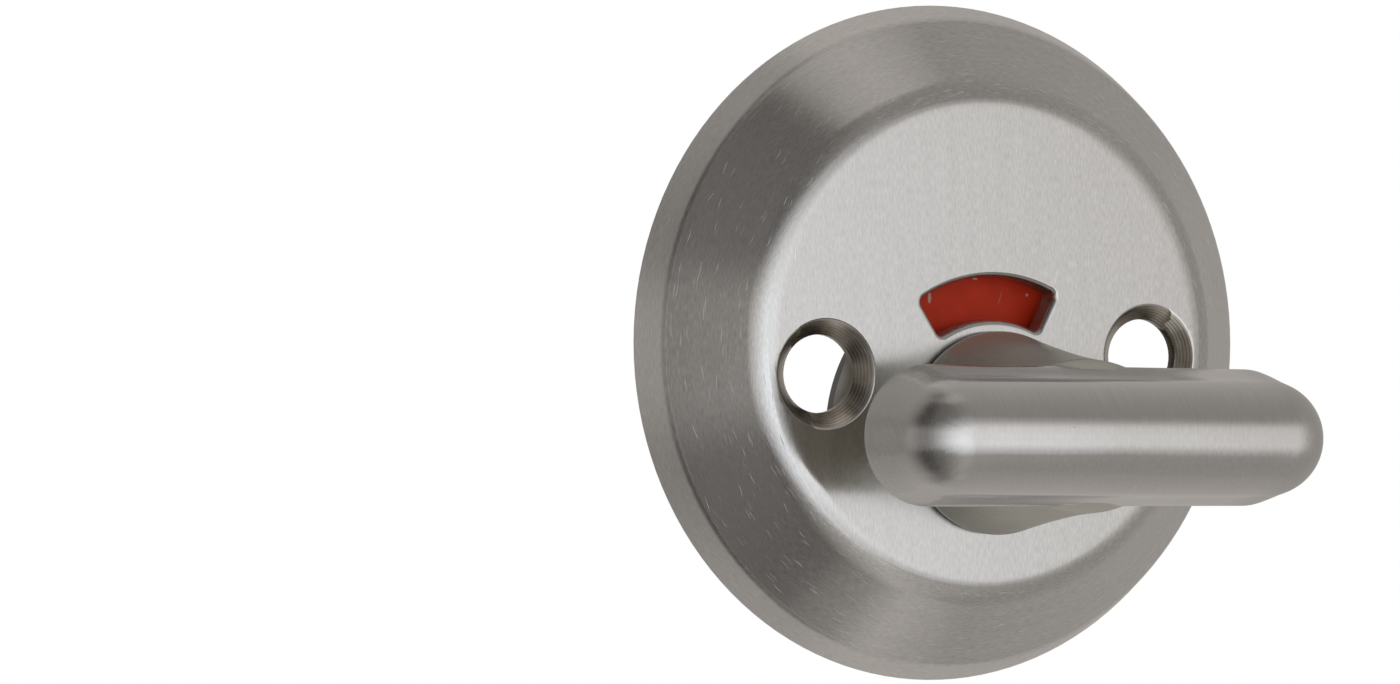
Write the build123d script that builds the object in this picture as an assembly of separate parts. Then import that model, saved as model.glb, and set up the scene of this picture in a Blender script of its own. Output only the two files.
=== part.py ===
"""Bathroom thumbturn on a round rose, with a red and white privacy indicator.

The frame has +Z up and the front facing -Y. The door face is the plane y = 0 and the
origin is the rose's centre on it. All lengths are in millimetres, angles in degrees.
"""
from build123d import *
from math import atan2, cos, pi, radians, sin, tan
import os

# Rose cover, a casting: steep rim, cone, rounded shoulder and flat face
rose_diameter = 58.0
rose_height = 8.6
rim_height = 2.85
rim_inset = 1.3
rim_rounding = 1.6
face_diameter = 42.5
shoulder_reach = 1.55
face_thickness = 2.1
seat_width = 2.0
seat_lip = 0.8
inner_face_inset = 0.65
seat_edge_break = 0.2

# Fixing screw holes, on a line through the face
screw_spacing = 31.2
screw_line_height = -1.9
screw_hole_diameter = 6.5
countersink_diameter = 9.1
countersink_angle = 84.0
countersink_edge_break = 0.1

# Spindle axis, below the rose's centre
spindle_height = -7.6

# Indicator window, a ring sector about the spindle axis
window_inner_radius = 9.45
window_outer_radius = 13.2
window_angle = 60.0
window_corner_rounding = 0.55
window_edge_rounding = 0.45

# Thumbturn, one casting: shaft, foot, flared neck and grip bar
foot_diameter = 17.1
foot_height = 0.8
foot_edge_rounding = 0.2
neck_width = 12.5
neck_length = 17.0
neck_taper_power = 1.25
neck_flare_power = 4.0
neck_stations = 7
bar_gap = 15.1
bar_length = 41.0
bar_width = 11.45
bar_depth = 8.6
bar_draft = 9.0
bar_front_flat = 0.4
bar_back_rounding = 0.5
shaft_seat_diameter = 10.4
shaft_flats = 8.6
shaft_end = 0.8
socket_depth = 11.0
rest_turn = 3.5

# Bearing bush, pressed into the cover
bush_diameter = 14.0
bush_bore = 12.0
bush_flange_inset = 0.5
bush_flange_thickness = 0.4

# Indicator disc on the shaft's flats, with two red fields on a white ground
disc_wall_gap = 0.76
disc_thickness = 1.0
disc_setback = 1.3
field_thickness = 0.12
field_inner_radius = 9.0
field_margin = 0.1
field_angle = 90.0

# Wave washer between the cover and the disc
washer_bore = 12.8
washer_diameter = 15.0
washer_thickness = 0.25
washer_waves = 3
points_per_wave = 12

# Retaining ring behind the disc
ring_groove_diameter = 9.5
ring_diameter = 13.6
ring_thickness = 0.9
ring_gap_angle = 50.0
ring_lug_diameter = 3.2
ring_lug_hole = 1.4

# Square spindle
spindle_square = 5.0
spindle_projection = 15.0
spindle_chamfer = 0.4

# Clearances
running_clearance = 0.05
slip_clearance = 0.05
washer_clearance = 0.05

# How near an edge lies to the size it is looked up by
size_tolerance = 0.01

# Directions in a sketch on the door
upward = 90.0
downward = -90.0

spindle = Pos(0, 0, spindle_height)
spindle_axis = Axis((0, 0, spindle_height), (0, -1, 0))
face_back = rose_height - face_thickness
inner_rim = rose_diameter / 2 - seat_width
inner_face = face_diameter / 2 - inner_face_inset
disc_front = face_back - disc_setback
disc_back = disc_front - disc_thickness
inner_flare = (inner_rim - inner_face) / (face_back - seat_lip)
wall_beside_disc = inner_rim - (disc_front - seat_lip) * inner_flare
disc_radius = wall_beside_disc + spindle_height - disc_wall_gap
brow = rose_diameter / 2 - rim_inset
cone_slope = atan2(rose_height - rim_height, brow - face_diameter / 2)
shoulder_rounding = shoulder_reach / tan(cone_slope / 2)
foot_base = rose_height + bush_flange_thickness + running_clearance
bar_base = rose_height + bar_gap
bar_front_width = bar_width - 2 * bar_depth * tan(radians(bar_draft))
bar_front_rounding = (bar_front_width - bar_front_flat) / 2 / tan(radians(45 - bar_draft / 2))


def turned(points):
    """Solid of revolution about the Y axis.

    Args:
        points: (radius, height) pairs of a closed outline, height in front of the door.
    """
    outline = [(radius, -height) for radius, height in points]
    return revolve(make_face(Polyline(*outline, close=True)), Axis.Y)


def on_door(height):
    """Sketch plane parallel to the door, `height` in front of it, with its normal to the front."""
    return Plane.XZ.offset(height)


def disc_slice(diameter, back, front):
    """Round plate about the Y axis, from height `back` to height `front`."""
    return extrude(on_door(back) * Circle(diameter / 2), amount=front - back)


def double_d(diameter, flats):
    """Round section with two parallel flats, `flats` apart."""
    return Circle(diameter / 2) & Rectangle(diameter, flats)


def ring_sector(inner, outer, angle, middle):
    """Sketch of a ring sector `angle` wide about the direction `middle`."""
    start = middle - angle / 2
    outer_arc = CenterArc((0, 0), outer, start, angle)
    inner_arc = CenterArc((0, 0), inner, start, angle)
    return make_face([outer_arc, inner_arc, Line(outer_arc @ 0, inner_arc @ 0), Line(outer_arc @ 1, inner_arc @ 1)])


def cover_blank():
    """Cover casting without its openings: a steep rim, a cone, a rounded shoulder and a hollow back."""
    rim = rose_diameter / 2
    face = face_diameter / 2
    outline = [(rim, 0), (brow, rim_height), (face, rose_height), (0, rose_height), (0, 0)]
    profile = make_face(Polyline(*[(radius, -height) for radius, height in outline], close=True))
    rim_corner = profile.vertices().sort_by_distance((brow, -rim_height))[0]
    profile = fillet(rim_corner, rim_rounding)
    shoulder_corner = profile.vertices().sort_by_distance((face, -rose_height))[0]
    profile = fillet(shoulder_corner, shoulder_rounding)
    cavity = turned([(inner_rim, 0), (inner_rim, seat_lip), (inner_face, face_back), (0, face_back), (0, 0)])
    blank = revolve(profile, Axis.Y) - cavity
    inner_seat_edge = blank.edges().group_by(Axis.Y)[-1].sort_by(SortBy.RADIUS)[0]
    return chamfer(inner_seat_edge, seat_edge_break)


def screw_cutter():
    """Countersunk screw hole about the Y axis, with a broken edge at its mouth."""
    hole = screw_hole_diameter / 2
    head = countersink_diameter / 2
    flare = tan(radians(countersink_angle / 2))
    seat = [(hole, 0), (hole, rose_height - (head - hole) / flare)]
    broken_edge = countersink_edge_break
    mouth = [(head - broken_edge * flare, rose_height - broken_edge), (head + broken_edge, rose_height)]
    return turned([(0, 0), *seat, *mouth, (0, rose_height)])


def from_spindle(edge):
    """Distances of an edge's ends and middle from the spindle axis."""
    return [Vector(point.X, 0, point.Z - spindle_height).length for point in (edge @ 0, edge @ 0.5, edge @ 1)]


def build_rose_cover():
    """Cover with its window, screw holes and bush bore, with broken edges at the face."""
    cover = cover_blank()
    window = ring_sector(window_inner_radius, window_outer_radius, window_angle, upward)
    window = fillet(window.vertices(), window_corner_rounding)
    cover -= spindle * extrude(on_door(0) * window, amount=rose_height)
    cover -= spindle * disc_slice(bush_diameter, 0, rose_height)
    for side in (-1, 1):
        cover -= Pos(side * screw_spacing / 2, 0, screw_line_height) * screw_cutter()
    nearest = window_inner_radius * cos(radians(window_angle / 2))
    window_edges = []
    for edge in cover.edges().group_by(Axis.Y)[0]:
        reach = from_spindle(edge)
        if nearest < min(reach) and max(reach) < window_outer_radius + size_tolerance:
            window_edges.append(edge)
    return fillet(window_edges, window_edge_rounding)


def build_bush():
    """Flanged plastic bush: the flange carries the foot, the bore guides the shaft."""
    bore = bush_bore / 2
    barrel = bush_diameter / 2
    flange = foot_diameter / 2 - bush_flange_inset
    front = rose_height + bush_flange_thickness
    barrel_side = [(bore, face_back), (barrel, face_back), (barrel, rose_height)]
    flange_side = [(flange, rose_height), (flange, front), (bore, front)]
    return spindle * turned(barrel_side + flange_side)


def neck_section(share, height):
    """Elliptical neck section: tapering from the foot, then flaring along the bar.

    Args:
        share: place between the foot (0) and the bar's back (1).
        height: the section's distance in front of the door.
    """
    taper = (foot_diameter - neck_width) / 2 * (1 - share) ** neck_taper_power
    flare = (neck_length - neck_width) / 2 * share**neck_flare_power
    half_width = neck_width / 2 + taper
    return on_door(height) * Ellipse(half_width + flare, half_width)


def build_neck():
    """Foot and flared neck, with a root that closes inside the bar."""
    foot_top = foot_base + foot_height
    foot = fillet(disc_slice(foot_diameter, foot_base, foot_top).edges(), foot_edge_rounding)
    neck_base = foot_top - foot_edge_rounding
    sections = []
    for station in range(neck_stations):
        share = station / (neck_stations - 1)
        sections.append(neck_section(share, neck_base + share * (bar_base - neck_base)))
    neck = loft(sections)
    root_height = bar_depth - bar_front_rounding
    flank = bar_width / 2 - root_height * tan(radians(bar_draft)) - bar_back_rounding
    root_end = on_door(bar_base + root_height) * Ellipse(neck_length / 2 - bar_back_rounding, flank)
    return foot + neck + loft([sections[-1], root_end])


def build_bar():
    """Grip bar: a pill with drafted flanks, a rounded front and a broken back edge."""
    plan = on_door(bar_base) * SlotOverall(bar_length, bar_width)
    bar = extrude(plan, amount=bar_depth, taper=bar_draft)
    bar = fillet(bar.edges().group_by(Axis.Y)[0], bar_front_rounding)
    return fillet(bar.edges().group_by(Axis.Y)[-1], bar_back_rounding)


def build_thumbturn():
    """Thumbturn casting with its bearing shaft, disc seat, ring groove and spindle socket."""
    grip = build_neck() + build_bar()
    shaft = disc_slice(bush_bore - 2 * running_clearance, disc_front, foot_base)
    seat = extrude(on_door(shaft_end) * double_d(shaft_seat_diameter, shaft_flats), amount=disc_front - shaft_end)
    groove = disc_slice(bush_bore, disc_back - ring_thickness, disc_back)
    groove -= disc_slice(ring_groove_diameter, disc_back - ring_thickness, disc_back)
    socket_square = spindle_square + 2 * slip_clearance
    socket = extrude(on_door(shaft_end) * Rectangle(socket_square, socket_square), amount=socket_depth)
    return spindle * (grip + shaft + (seat - groove) - socket)


def build_disc():
    """Indicator disc, driven by the shaft's flats."""
    hole = double_d(shaft_seat_diameter + 2 * slip_clearance, shaft_flats + 2 * slip_clearance)
    return spindle * extrude(on_door(disc_back) * (Circle(disc_radius) - hole), amount=disc_thickness)


def build_field(middle):
    """One red field on the disc's front, about the direction `middle`."""
    sector = ring_sector(field_inner_radius, disc_radius - field_margin, field_angle, middle)
    return spindle * extrude(on_door(disc_front) * sector, amount=field_thickness)


def wave_edge(radius, middle, swing):
    """Closed wavy edge about the Y axis."""
    steps = points_per_wave * washer_waves
    points = []
    for step in range(steps):
        angle = 2 * pi * step / steps
        height = middle + swing * cos(washer_waves * angle)
        points.append((radius * cos(angle), -height, radius * sin(angle)))
    return Spline(*points, periodic=True)


def build_washer():
    """Wave washer: it bears on the cover's back and presses on the disc."""
    swing = (disc_setback - washer_clearance - washer_thickness) / 2
    middle = face_back - swing
    inner = wave_edge(washer_bore / 2, middle, swing)
    outer = wave_edge(washer_diameter / 2, middle, swing)
    sheet = Face.make_surface_from_curves(inner.edge(), outer.edge())
    return spindle * extrude(sheet, amount=washer_thickness, dir=(0, 1, 0))


def build_ring():
    """External retaining ring with two lugs beside its gap."""
    back = disc_back - ring_thickness
    bore = ring_groove_diameter / 2
    rim = ring_diameter / 2
    middle_radius = (rim + bore) / 2
    lugs = []
    holes = []
    for side in (-1, 1):
        angle = radians(downward + side * ring_gap_angle / 2)
        place = Pos(middle_radius * cos(angle), middle_radius * sin(angle))
        lugs.append(place * Circle(ring_lug_diameter / 2))
        holes.append(place * Circle(ring_lug_hole / 2))
    gap = ring_sector(bore / 2, 2 * rim, ring_gap_angle, downward)
    section = (Circle(rim) - gap) + lugs - Circle(bore) - holes
    return spindle * extrude(on_door(back) * section, amount=ring_thickness)


def build_spindle():
    """Square spindle, bottomed in the shaft's socket and reaching into the door."""
    length = spindle_projection + shaft_end + socket_depth
    bar = extrude(on_door(-spindle_projection) * Rectangle(spindle_square, spindle_square), amount=length)
    end_edges = bar.edges().group_by(Axis.Y)[-1]
    return spindle * chamfer(end_edges, spindle_chamfer)


def at_rest(piece):
    """Turn a piece that follows the thumbturn to its place at rest, clockwise from level."""
    return piece.rotate(spindle_axis, -rest_turn)


os.makedirs("parts", exist_ok=True)
pieces = {
    "rose_cover": build_rose_cover(),
    "bearing_bush": build_bush(),
    "wave_washer": build_washer(),
    "thumbturn": at_rest(build_thumbturn()),
    "indicator_disc": at_rest(build_disc()),
    "red_field_upper": at_rest(build_field(upward)),
    "red_field_lower": at_rest(build_field(downward)),
    "retaining_ring": at_rest(build_ring()),
    "spindle": at_rest(build_spindle()),
}
for name, piece in pieces.items():
    export_step(piece, f"parts/{name}.step")
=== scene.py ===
import logging
import math
from dataclasses import dataclass
from enum import Enum

import bmesh
import bpy
from mathutils import Matrix, Vector


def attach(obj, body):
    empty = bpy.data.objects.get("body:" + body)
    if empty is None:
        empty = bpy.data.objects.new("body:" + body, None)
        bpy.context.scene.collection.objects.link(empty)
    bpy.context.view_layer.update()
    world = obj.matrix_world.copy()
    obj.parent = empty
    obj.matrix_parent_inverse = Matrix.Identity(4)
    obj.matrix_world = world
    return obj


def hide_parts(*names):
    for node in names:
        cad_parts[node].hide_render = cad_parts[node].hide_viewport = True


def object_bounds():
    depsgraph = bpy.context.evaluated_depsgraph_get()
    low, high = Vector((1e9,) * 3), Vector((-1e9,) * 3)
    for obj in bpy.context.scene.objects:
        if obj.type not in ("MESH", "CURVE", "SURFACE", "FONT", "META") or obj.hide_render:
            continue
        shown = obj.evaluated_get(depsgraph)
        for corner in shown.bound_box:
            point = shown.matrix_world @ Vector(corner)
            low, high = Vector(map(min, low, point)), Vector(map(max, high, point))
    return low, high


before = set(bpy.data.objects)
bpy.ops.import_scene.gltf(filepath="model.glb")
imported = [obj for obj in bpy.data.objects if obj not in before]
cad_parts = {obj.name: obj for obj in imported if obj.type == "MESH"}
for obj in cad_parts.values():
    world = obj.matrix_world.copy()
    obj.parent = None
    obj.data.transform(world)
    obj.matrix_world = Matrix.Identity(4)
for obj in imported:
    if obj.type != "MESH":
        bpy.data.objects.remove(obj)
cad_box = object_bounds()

log = logging.getLogger("thumbturn")

MILLIMETRE = 0.001
PICTURE_WIDTH = 1400
PICTURE_HEIGHT = 684
SENSOR_WIDTH = 36.0
WHITE = (1.0, 1.0, 1.0, 1.0)

# The spindle's axis on the rose, in millimetres, and the turn at rest about it, in degrees
SPINDLE_HEIGHT = -7.6
REST_TURN = 3.5

Socket = bpy.types.NodeSocket
Value = float | Socket
Colour = tuple[float, float, float, float]
Pair = tuple[float, float]
Stops = tuple[Pair, ...]
Names = tuple[str, ...]


class Body(Enum):
    """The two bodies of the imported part."""

    ROSE = "rose"
    TURN = "turn"


class Slot(Enum):
    """The record's material slots."""

    COVER = "cover_nickel"
    TURN = "turn_nickel"
    BUSH = "bush_plastic"
    WHITE = "white_paint"
    RED = "red_paint"
    SPRING = "spring_steel"
    SPINDLE = "spindle_steel"


class Grain(Enum):
    """Which way a surface was brushed, with the tangent's axis and the turn of the spread from it."""

    UPRIGHT = ("up the face", "Z", 0.0)
    ROUND = ("round the rose", "Y", 0.25)
    ACROSS = ("across the grip", "Z", 0.0)


class CoverArea(Enum):
    """The cover's surfaces, numbered as their finishes are."""

    FACE = 0
    CONE = 1
    COUNTERSINK = 2
    BACK = 3
    BORE = 4
    RIM = 5


class TurnArea(Enum):
    """The thumbturn's surfaces, numbered as their finishes are."""

    GRIP = 0
    NECK = 1
    BACK = 2
    SHAFT = 3


class Wiring:
    """Adds nodes to one node tree and joins them.

    mix_inputs and mix_output number a Mix node's sockets for colours. speck_core is the share of a speck's
    reach that has its full strength, and faintest_speck is the least strength of one.
    """

    mix_inputs = (0, 6, 7)
    mix_output = 2
    speck_core = 0.4
    faintest_speck = 0.3

    def __init__(self, tree: bpy.types.NodeTree) -> None:
        """Keeps the tree that the nodes go into."""
        self.tree = tree

    def add(self, kind: str, **settings: object) -> bpy.types.Node:
        """Adds one node.

        Args:
            kind: Blender's identifier of the node.
            settings: Properties of the node, by name.

        Returns:
            The new node.
        """
        node = self.tree.nodes.new(kind)
        for name, value in settings.items():
            setattr(node, name, value)
        return node

    def feed(self, target: Socket, value: object) -> None:
        """Joins a socket to an input, or sets the input to a plain value.

        Args:
            target: The input socket.
            value: An output socket or a plain value.
        """
        if isinstance(value, bpy.types.NodeSocket):
            self.tree.links.new(value, target)
        else:
            target.default_value = value

    def sum(self, operation: str, *values: Value, clamp: bool = False) -> Socket:
        """Works out one Math node.

        Args:
            operation: Blender's name of the operation.
            values: One to three numbers or sockets.
            clamp: Whether the result is held between 0 and 1.

        Returns:
            The result.
        """
        node = self.add("ShaderNodeMath", operation=operation, use_clamp=clamp)
        for target, value in zip(node.inputs, values):
            self.feed(target, value)
        return node.outputs[0]

    def between(self, value: Value, low: Value, high: Value) -> Socket:
        """Tells how far a value is through a range, eased and held at both ends.

        Args:
            value: The value.
            low: Where the result is 0.
            high: Where the result is 1.

        Returns:
            The share of the range, 0 to 1.
        """
        node = self.add("ShaderNodeMapRange", interpolation_type="SMOOTHSTEP", clamp=True)
        for target, part in zip(node.inputs, (value, low, high)):
            self.feed(target, part)
        return node.outputs[0]

    def vector(self, x: Value, y: Value, z: Value = 0.0) -> Socket:
        """Puts three values together.

        Args:
            x: The first value.
            y: The second value.
            z: The third value.

        Returns:
            The vector.
        """
        node = self.add("ShaderNodeCombineXYZ")
        for target, value in zip(node.inputs, (x, y, z)):
            self.feed(target, value)
        return node.outputs[0]

    def mix(self, share: Value, first: object, second: object) -> Socket:
        """Mixes two colours.

        Args:
            share: Share of the second colour.
            first: A colour or a socket.
            second: A colour or a socket.

        Returns:
            The mixed colour.
        """
        node = self.add("ShaderNodeMix", data_type="RGBA")
        for number, value in zip(self.mix_inputs, (share, first, second)):
            self.feed(node.inputs[number], value)
        return node.outputs[self.mix_output]

    def noise(self, place: Socket, scale: float, detail: float = 2.0) -> Socket:
        """Gives soft noise about zero.

        Args:
            place: Where it is read.
            scale: Lumps for each unit of the place.
            detail: Octaves of finer noise.

        Returns:
            The noise, mostly within 0.3 of zero.
        """
        node = self.add("ShaderNodeTexNoise")
        self.feed(node.inputs["Vector"], place)
        node.inputs["Scale"].default_value = scale
        node.inputs["Detail"].default_value = detail
        return self.sum("SUBTRACT", node.outputs[0], 0.5)

    def stretch(self, across: Value, along: Value, counts: Pair, layer: float = 0.0) -> Socket:
        """Scales a place on a surface, so that noise read there is drawn out.

        Args:
            across: Millimetres across the lines.
            along: Millimetres along them.
            counts: Lumps for each millimetre across and along.
            layer: Which layer of the noise is read.

        Returns:
            The scaled place.
        """
        sideways = self.sum("MULTIPLY", across, counts[0])
        lengthways = self.sum("MULTIPLY", along, counts[1])
        return self.vector(sideways, lengthways, layer)

    def specks(self, place: Socket, reach: float, share: Value) -> Socket:
        """Gives scattered specks, one at most in each unit cell.

        Args:
            place: Where they are read.
            reach: How far a speck reaches from its middle, in cells.
            share: Share of the cells that hold one.

        Returns:
            A mask, 1 in the middle of the strongest specks.
        """
        node = self.add("ShaderNodeTexVoronoi")
        self.feed(node.inputs["Vector"], place)
        node.inputs["Scale"].default_value = 1.0
        spot = self.between(node.outputs["Distance"], reach, self.speck_core * reach)
        pick = self.add("ShaderNodeSeparateColor")
        self.feed(pick.inputs[0], node.outputs["Color"])
        held = self.sum("LESS_THAN", pick.outputs[0], share)
        strength = self.sum("MULTIPLY_ADD", pick.outputs[1], 1 - self.faintest_speck, self.faintest_speck)
        return self.sum("MULTIPLY", self.sum("MULTIPLY", spot, held), strength)


class Effects:
    """The node groups that several finishes share.

    Counts are lumps for each millimetre, across the brushing and along it. The bend's width is in
    millimetres, and a reach is in the specks' own cells.
    """

    fine_counts = (6.0, 1.5)
    broad_counts = (1.1, 0.10)
    broad_layer = 4.0
    broad_tone = 0.25
    hairline_counts = (5.5, 0.36)
    hairline_reach = 0.30
    bend_count = 0.35
    bend_width = 1.3
    pit_counts = (1.3, 1.1)
    pit_layer = 2.0
    pit_reach = 0.09

    def __init__(self) -> None:
        """Builds each group once."""
        self.groups: dict[str, bpy.types.NodeTree] = {}
        self.build_place("rose_place", 0.0, 0.0)
        self.build_place("turn_place", SPINDLE_HEIGHT, -REST_TURN)
        self.build_brush_lines()
        self.build_hairlines()
        self.build_pits()

    def start(self, name: str, inputs: Names, outputs: Names) -> tuple[Wiring, object, object]:
        """Starts one group.

        Args:
            name: The group's name.
            inputs: Its inputs.
            outputs: Its outputs.

        Returns:
            The wiring inside, the sockets that bring the inputs and the sockets that take the outputs.
        """
        tree = bpy.data.node_groups.new(name, "ShaderNodeTree")
        for label in inputs:
            tree.interface.new_socket(label, in_out="INPUT", socket_type="NodeSocketFloat")
        for label in outputs:
            tree.interface.new_socket(label, in_out="OUTPUT", socket_type="NodeSocketFloat")
        self.groups[name] = tree
        wiring = Wiring(tree)
        return wiring, wiring.add("NodeGroupInput").outputs, wiring.add("NodeGroupOutput").inputs

    def use(self, wiring: Wiring, name: str, *values: Value) -> tuple[Socket, ...]:
        """Puts a group into a material.

        Args:
            wiring: The material's wiring.
            name: The group.
            values: What goes into its inputs, in order.

        Returns:
            Its outputs.
        """
        node = wiring.add("ShaderNodeGroup", node_tree=self.groups[name])
        for target, value in zip(node.inputs, values):
            wiring.feed(target, value)
        return tuple(node.outputs)

    def build_place(self, name: str, axis_height: float, turn: float) -> None:
        """Builds the group that gives places in millimetres about an axis square to the door.

        Args:
            name: The group's name.
            axis_height: The axis's height on the rose, in millimetres.
            turn: Turn about the axis that brings the piece level, in degrees.
        """
        wiring, _, result = self.start(name, (), ("Across", "Up", "Front", "Radius", "Round"))
        level = Matrix.Rotation(math.radians(turn), 3, "Y")
        mapping = wiring.add("ShaderNodeMapping")
        mapping.inputs["Location"].default_value = -(level @ Vector((0, 0, axis_height)))
        mapping.inputs["Rotation"].default_value = (0, math.radians(turn), 0)
        mapping.inputs["Scale"].default_value = (1 / MILLIMETRE,) * 3
        wiring.feed(mapping.inputs["Vector"], wiring.add("ShaderNodeTexCoord").outputs["Object"])
        parts = wiring.add("ShaderNodeSeparateXYZ")
        wiring.feed(parts.inputs[0], mapping.outputs[0])
        across, depth, up = parts.outputs
        squares = wiring.sum("MULTIPLY_ADD", across, across, wiring.sum("MULTIPLY", up, up))
        radius = wiring.sum("SQRT", squares)
        angle = wiring.sum("ARCTAN2", up, across)
        front = wiring.sum("MULTIPLY", depth, -1.0)
        for target, value in zip(result, (across, up, front, radius, angle)):
            wiring.feed(target, value)

    def build_brush_lines(self) -> None:
        """Builds the group for fine brushing: its tone and its height, both about zero."""
        wiring, places, result = self.start("brush_lines", ("Across", "Along"), ("Tone", "Height"))
        across, along, _ = places
        fine = wiring.noise(wiring.stretch(across, along, self.fine_counts), 1.0, detail=3.0)
        broad = wiring.noise(wiring.stretch(across, along, self.broad_counts, self.broad_layer), 1.0)
        wiring.feed(result[0], wiring.sum("MULTIPLY_ADD", broad, self.broad_tone, fine))
        wiring.feed(result[1], fine)

    def build_hairlines(self) -> None:
        """Builds the group for scattered hairline scratches that follow the brushing."""
        wiring, places, result = self.start("hairlines", ("Across", "Along", "Share"), ("Mask",))
        across, along, share, _ = places
        bend = wiring.noise(wiring.vector(across, along), self.bend_count, detail=1.0)
        bent = wiring.sum("MULTIPLY_ADD", bend, self.bend_width, across)
        place = wiring.stretch(bent, along, self.hairline_counts)
        wiring.feed(result[0], wiring.specks(place, self.hairline_reach, share))

    def build_pits(self) -> None:
        """Builds the group for small pits."""
        wiring, places, result = self.start("pits", ("Across", "Along", "Share"), ("Mask",))
        across, along, share, _ = places
        place = wiring.stretch(across, along, self.pit_counts, self.pit_layer)
        wiring.feed(result[0], wiring.specks(place, self.pit_reach, share))


def new_material(name: str) -> tuple[bpy.types.Material, Wiring, bpy.types.NodeInputs]:
    """Starts a material.

    Args:
        name: Its name.

    Returns:
        The material, its wiring and its shader's inputs.
    """
    material = bpy.data.materials.new(name)
    material.use_nodes = True
    return material, Wiring(material.node_tree), material.node_tree.nodes["Principled BSDF"].inputs


def raise_surface(wiring: Wiring, shader: bpy.types.NodeInputs, height: Socket) -> None:
    """Gives a shader a bump.

    Args:
        wiring: The material's wiring.
        shader: The shader's inputs.
        height: Height in millimetres.
    """
    bump = wiring.add("ShaderNodeBump")
    bump.inputs["Strength"].default_value = 1.0
    bump.inputs["Distance"].default_value = MILLIMETRE
    wiring.feed(bump.inputs["Height"], height)
    wiring.feed(shader["Normal"], bump.outputs[0])


def grey(level: float, warmth: float = 0.0) -> Colour:
    """Gives a grey of a linear brightness, in which red rises and blue falls by the share of warmth."""
    return (level * (1 + warmth), level, level * (1 - warmth), 1.0)


def ramp(wiring: Wiring, place: Socket, stops: list[tuple[float, Colour]]) -> Socket:
    """Runs a place through a colour ramp.

    Args:
        wiring: The wiring that takes the ramp.
        place: Where on the ramp, 0 to 1.
        stops: Place and colour of each stop, in order.

    Returns:
        The colour there.
    """
    node = wiring.add("ShaderNodeValToRGB")
    elements = node.color_ramp.elements
    elements[0].position, elements[0].color = stops[0]
    elements[1].position, elements[1].color = stops[-1]
    for spot, colour in stops[1:-1]:
        elements.new(spot).color = colour
    wiring.feed(node.inputs[0], place)
    return node.outputs[0]


@dataclass(frozen=True)
class PictureCamera:
    """The camera at the photograph's place.

    Angles are in degrees and lengths in millimetres. The focal length and the picture's centre are in pixels
    of the 1400 wide picture.
    """

    azimuth: float = 28.671
    elevation: float = 1.130
    roll: float = -2.206
    distance: float = 341.49
    focal_length: float = 3967.4
    centre_x: float = 941.58
    centre_y: float = 342.74
    clip_start: float = 10.0

    def build(self) -> None:
        """Makes the camera and makes it the scene's own."""
        data = bpy.data.cameras.new("picture_camera")
        data.sensor_width = SENSOR_WIDTH
        data.lens = self.focal_length * SENSOR_WIDTH / PICTURE_WIDTH
        data.shift_x = (PICTURE_WIDTH / 2 - self.centre_x) / PICTURE_WIDTH
        data.shift_y = (self.centre_y - PICTURE_HEIGHT / 2) / PICTURE_WIDTH
        data.clip_start = self.clip_start * MILLIMETRE
        camera = bpy.data.objects.new("picture_camera", data)
        turn = Matrix.Rotation(math.radians(-self.azimuth), 4, "Z")
        tilt = Matrix.Rotation(math.radians(90 - self.elevation), 4, "X")
        roll = Matrix.Rotation(math.radians(self.roll), 4, "Z")
        back = Matrix.Translation((0, 0, self.distance * MILLIMETRE))
        camera.matrix_world = turn @ tilt @ back @ roll
        bpy.context.scene.collection.objects.link(camera)
        bpy.context.scene.camera = camera


@dataclass(frozen=True)
class SoftBox:
    """The soft light ahead of the face, square to it and graded both ways. Lengths are in millimetres.

    Each grade holds brightness by place, from left to right or from low to high. The power is in watts for
    each square metre.
    """

    distance: float = 250.0
    power: float = 4.0
    warmth: float = -0.075
    level_grade: Stops = (
        (-300, 0.20), (-220, 0.22), (-150, 0.45), (-90, 0.70), (-40, 0.80), (0, 0.78), (40, 0.62),
        (90, 0.54), (135, 0.22), (180, 0.05), (300, 0.08))
    height_grade: Stops = (
        (-150, 0.40), (-110, 0.55), (-75, 0.74), (-45, 0.86), (-20, 0.80), (0, 0.70), (20, 0.70),
        (45, 0.57), (75, 0.38), (110, 0.25), (150, 0.20))

    def build(self) -> None:
        """Makes the light, which the camera doesn't see."""
        left, right = self.level_grade[0][0], self.level_grade[-1][0]
        low, high = self.height_grade[0][0], self.height_grade[-1][0]
        data = bpy.data.lights.new("soft_box", "AREA")
        data.shape = "RECTANGLE"
        data.size = (right - left) * MILLIMETRE
        data.size_y = (high - low) * MILLIMETRE
        data.energy = self.power * data.size * data.size_y
        data.use_nodes = True
        wiring = Wiring(data.node_tree)
        place = wiring.add("ShaderNodeSeparateXYZ")
        wiring.feed(place.inputs[0], wiring.add("ShaderNodeNewGeometry").outputs["Parametric"])
        across = self.grade(wiring, place.outputs[0], self.level_grade)
        upward = self.grade(wiring, place.outputs[1], self.height_grade)
        emission = data.node_tree.nodes["Emission"].inputs
        emission["Color"].default_value = grey(1.0, self.warmth)
        wiring.feed(emission["Strength"], wiring.sum("MULTIPLY", across, upward))
        box = bpy.data.objects.new("soft_box", data)
        box.location = Vector(((left + right) / 2, -self.distance, (low + high) / 2)) * MILLIMETRE
        box.rotation_euler = (math.radians(90), 0, 0)
        box.visible_camera = False
        bpy.context.scene.collection.objects.link(box)

    @staticmethod
    def grade(wiring: Wiring, place: Socket, stops: Stops) -> Socket:
        """Makes one grade of brightness.

        Args:
            wiring: The light's wiring.
            place: Place over the light, 0 to 1.
            stops: Place in millimetres and brightness of each stop, in order.

        Returns:
            The brightness at that place.
        """
        start, end = stops[0][0], stops[-1][0]
        shades = [((spot - start) / (end - start), grey(level)) for spot, level in stops]
        return ramp(wiring, place, shades)


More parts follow.
